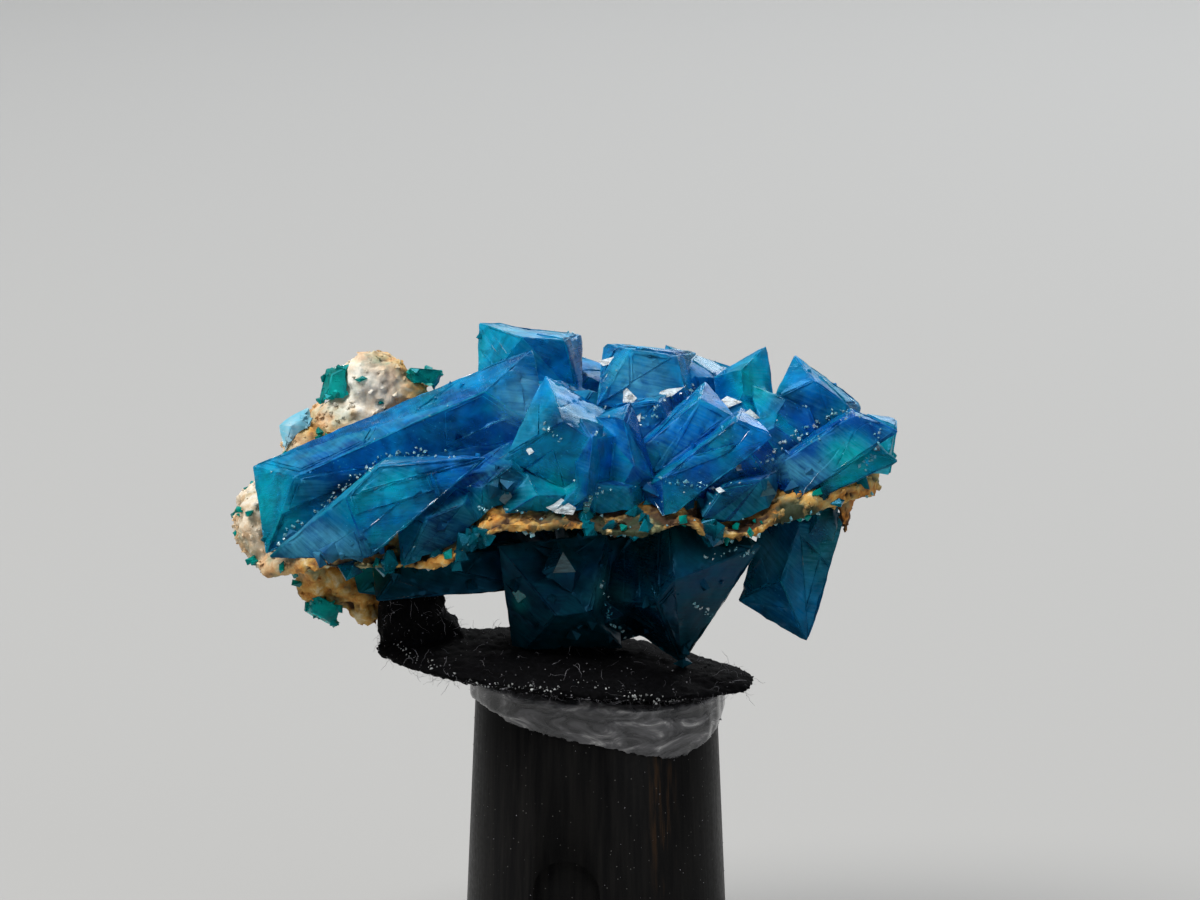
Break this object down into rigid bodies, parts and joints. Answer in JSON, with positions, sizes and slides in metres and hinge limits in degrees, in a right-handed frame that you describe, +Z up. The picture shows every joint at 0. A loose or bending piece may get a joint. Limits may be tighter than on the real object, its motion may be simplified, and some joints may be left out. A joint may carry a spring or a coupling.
{
  "type": "liroconite crystal specimen on a mounting peg",
  "caption": "Blue wedge-shaped crystals grown on both sides of an iron-stained rock plate, held by black putty on a tapered black peg.",
  "frame": {"origin": "centre of the peg's foot, on the surface that the specimen stands on", "axes": "+Z up along the peg, +X along the length of the rock plate, -Y towards the side that shows best"},
  "size_m": [0.017, 0.0086, 0.0171],
  "materials": {
    "black_peg": "satin black with faint scratches and pale specks",
    "black_putty": "matt black, with lint and fibres stuck to it",
    "clear_glue": "glossy smoke-grey",
    "stained_rock": "rough, cream to ochre and rust, with teal stains",
    "blue_crystal": "see-through deep blue to teal, in part frosted",
    "dark_crystal": "see-through dark teal-blue",
    "teal_crystal": "see-through teal"
  },
  "bodies": {
    "root": {"peg": "black_peg", "putty_pad": "black_putty", "glue_collar": "clear_glue", "rock_plate": "stained_rock", "upper_crystals": "blue_crystal", "lower_crystals": "dark_crystal", "pendant_crystal": "blue_crystal", "knob_crystal": "teal_crystal", "knob_side_crystal": "teal_crystal", "ridge_crystal": "teal_crystal", "tongue_crystal": "teal_crystal"}
  },
  "joints": []
}
